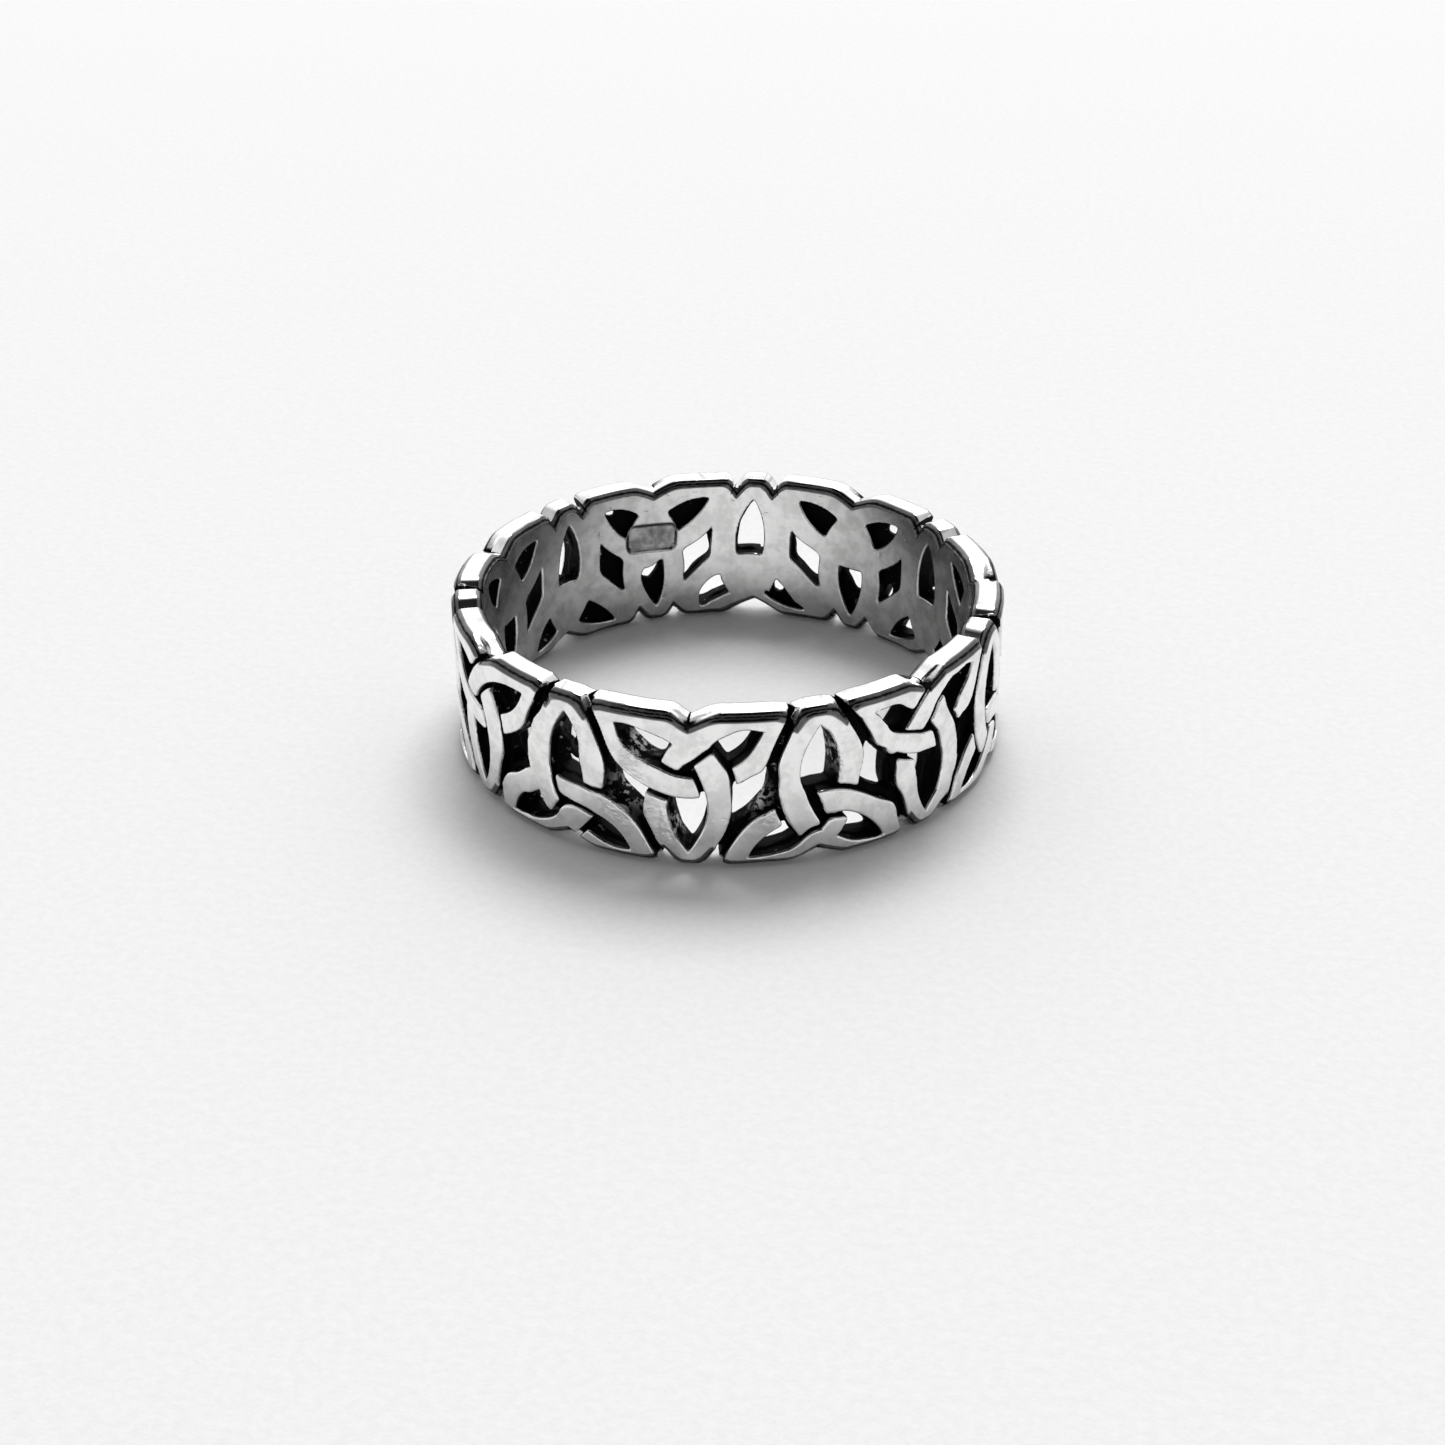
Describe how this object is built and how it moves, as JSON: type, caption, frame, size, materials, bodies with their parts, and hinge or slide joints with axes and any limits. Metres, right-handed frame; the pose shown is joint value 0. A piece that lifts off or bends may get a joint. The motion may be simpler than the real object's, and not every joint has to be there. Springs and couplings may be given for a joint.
{
  "type": "celtic knot ring",
  "caption": "Cast silver finger ring: a pierced band of interlaced three-lobed knots, alternately point down and point up, with dark recesses.",
  "frame": {"origin": "centre of the lower rim's plane, on the ring's axis", "axes": "+Z along the ring's axis, upward as the ring lies on its side; -Y out through the middle of a point-down knot"},
  "size_m": [0.0206, 0.0206, 0.0061],
  "materials": {
    "oxidised_silver": "polished"
  },
  "bodies": {
    "root": {"knot_band": "oxidised_silver"}
  },
  "joints": []
}
